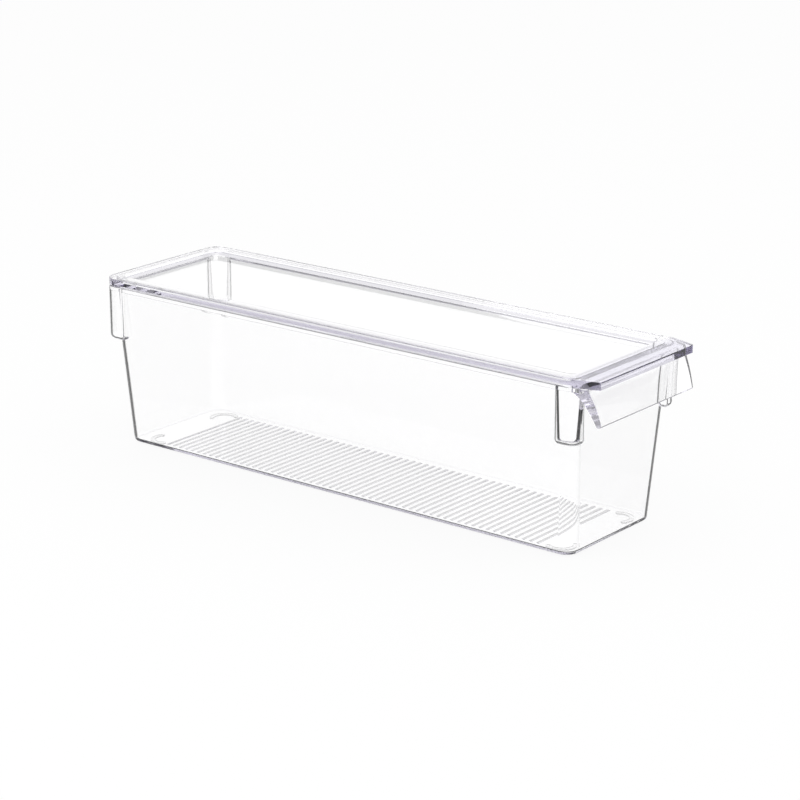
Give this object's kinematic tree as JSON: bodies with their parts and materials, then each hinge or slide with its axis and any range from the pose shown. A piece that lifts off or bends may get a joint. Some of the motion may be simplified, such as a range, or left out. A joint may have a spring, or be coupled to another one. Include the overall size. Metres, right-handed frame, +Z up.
{
  "type": "fridge drink organizer",
  "caption": "Long narrow clear bin with a curled finger handle, ribbed floor and a lift-off lid with a sunken panel that takes the base of the next bin.",
  "frame": {"origin": "on the ground under the middle of the bounding box", "axes": "+Z up, +Y along the bin away from the handle, +X across it"},
  "size_m": [0.0976, 0.3448, 0.1011],
  "materials": {
    "clear_bin": "clear, polished, colourless with a faint violet-grey tint in thick edges",
    "clear_lid": "clear, polished, colourless with a faint violet-grey tint in thick edges"
  },
  "bodies": {
    "bin": {"bin": "clear_bin"},
    "lid": {"lid": "clear_lid"}
  },
  "joints": [
    {"name": "lid_lift", "type": "slide", "parent": "bin", "child": "lid", "axis": [0, 0, 1], "range_m": [0, 0.12]}
  ]
}
